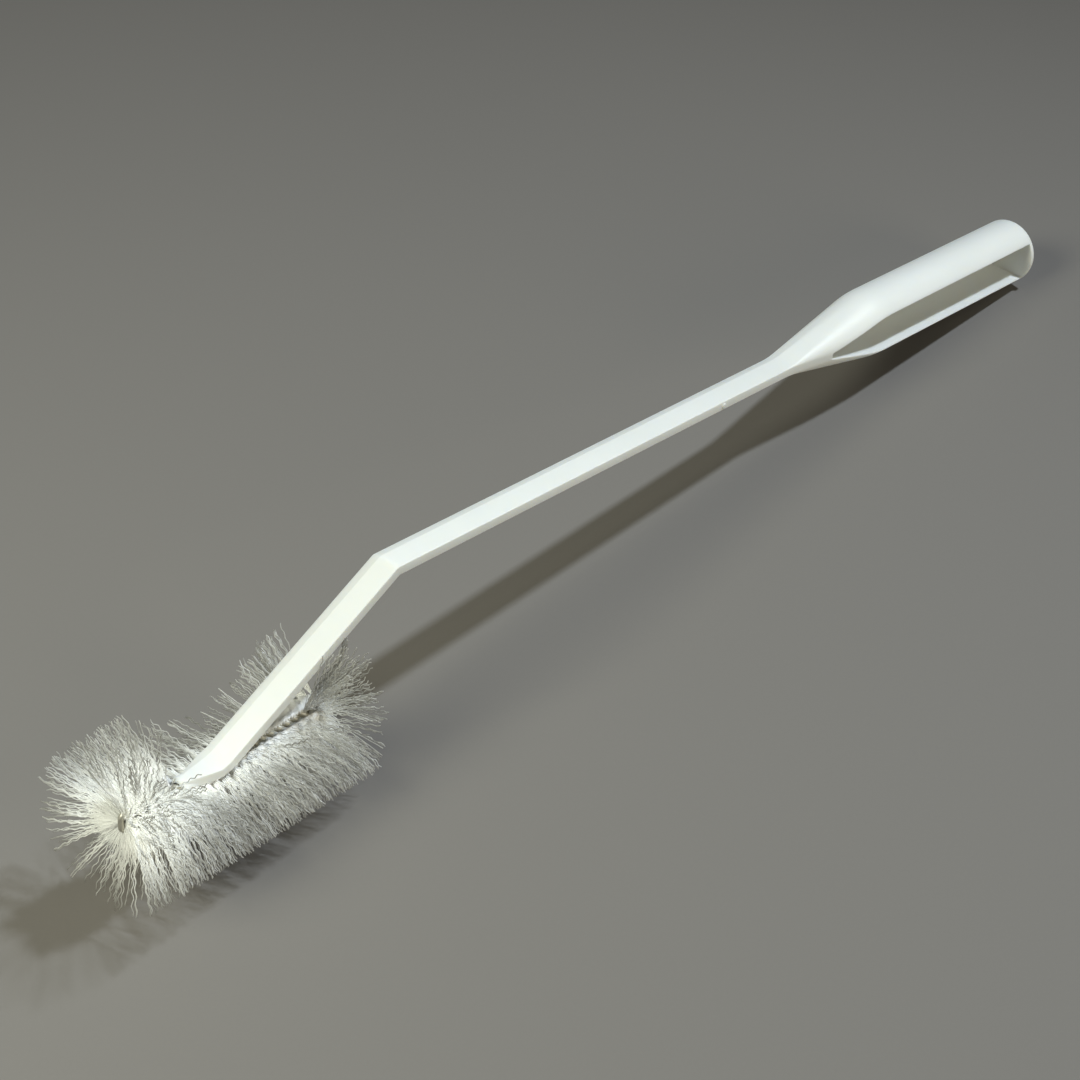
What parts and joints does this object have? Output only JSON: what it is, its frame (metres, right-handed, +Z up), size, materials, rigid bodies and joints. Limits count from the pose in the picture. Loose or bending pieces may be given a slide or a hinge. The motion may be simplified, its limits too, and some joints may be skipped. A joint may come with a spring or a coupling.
{
  "type": "bottle brush",
  "caption": "Cranked one-piece plastic handle with a pocketed round grip and a bristle head of crimped filaments held in twisted wire, for washing bottles.",
  "frame": {"origin": "on the table under the middle of the brush, as it rests", "axes": "+X from the brush head to the grip's closed end, +Z up, and the grip's pocket opens towards -Y"},
  "size_m": [0.4631, 0.0542, 0.0635],
  "materials": {
    "handle_plastic": "white moulded polypropylene, satin",
    "spine_steel": "drawn galvanised steel wire",
    "bristle_nylon": "crimped white nylon filament"
  },
  "bodies": {
    "root": {"handle": "handle_plastic", "spine_wire": "spine_steel", "bristle_turn_01": "bristle_nylon", "bristle_turn_02": "bristle_nylon", "bristle_turn_03": "bristle_nylon", "bristle_turn_04": "bristle_nylon", "bristle_turn_05": "bristle_nylon", "bristle_turn_06": "bristle_nylon", "bristle_turn_07": "bristle_nylon", "bristle_turn_08": "bristle_nylon", "bristle_turn_09": "bristle_nylon", "bristle_turn_10": "bristle_nylon", "bristle_turn_11": "bristle_nylon"}
  },
  "joints": []
}
